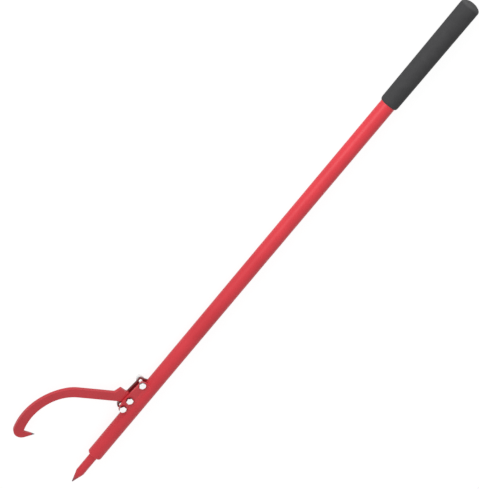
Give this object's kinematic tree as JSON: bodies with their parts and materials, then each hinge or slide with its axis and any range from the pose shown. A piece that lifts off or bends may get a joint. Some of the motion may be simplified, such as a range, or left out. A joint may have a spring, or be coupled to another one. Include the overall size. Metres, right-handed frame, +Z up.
{
  "type": "peavey",
  "caption": "Log-rolling lever: steel tube handle with a rubber grip, a pointed spike at its lower end and a curved log hook that swings between two welded ears.",
  "frame": {"origin": "under the middle of the tool's bounding box, on the surface that the tool lies on", "axes": "+X along the handle from the spike toward the grip, +Y to the side that the hook is on, +Z up, parallel to the hook's pivot, from the nuts to the bolt heads"},
  "size_m": [1.2488, 0.2118, 0.0404],
  "materials": {
    "tube_paint": "red powder coat, semi-gloss",
    "fitting_paint": "red powder coat, semi-gloss",
    "hook_paint": "red powder coat, semi-gloss, bare dark tip",
    "spike_paint": "red powder coat, semi-gloss, bare dark point",
    "grip_rubber": "matt charcoal rubber with a fine grain",
    "zinc": "bright zinc plating",
    "nylon": "natural nylon"
  },
  "bodies": {
    "handle": {"handle_tube": "tube_paint", "grip": "grip_rubber", "end_plug": "fitting_paint", "spike": "spike_paint", "spike_weld": "fitting_paint", "front_ear": "fitting_paint", "rear_ear": "fitting_paint", "front_ear_weld": "fitting_paint", "rear_ear_weld": "fitting_paint", "pivot_bolt": "zinc", "pivot_washer": "zinc", "pivot_nut": "zinc", "pivot_nut_ring": "nylon", "upper_bolt": "zinc", "upper_washer": "zinc", "upper_nut": "zinc", "upper_nut_ring": "nylon", "lower_bolt": "zinc", "lower_washer": "zinc", "lower_nut": "zinc", "lower_nut_ring": "nylon"},
    "hook": {"hook": "hook_paint"}
  },
  "joints": [
    {"name": "hook_pivot", "type": "hinge", "parent": "handle", "child": "hook", "pos_m": [-0.3968, -0.06061, 0.0206], "axis": [0, 0, 1], "range_deg": [-80, 33]}
  ]
}
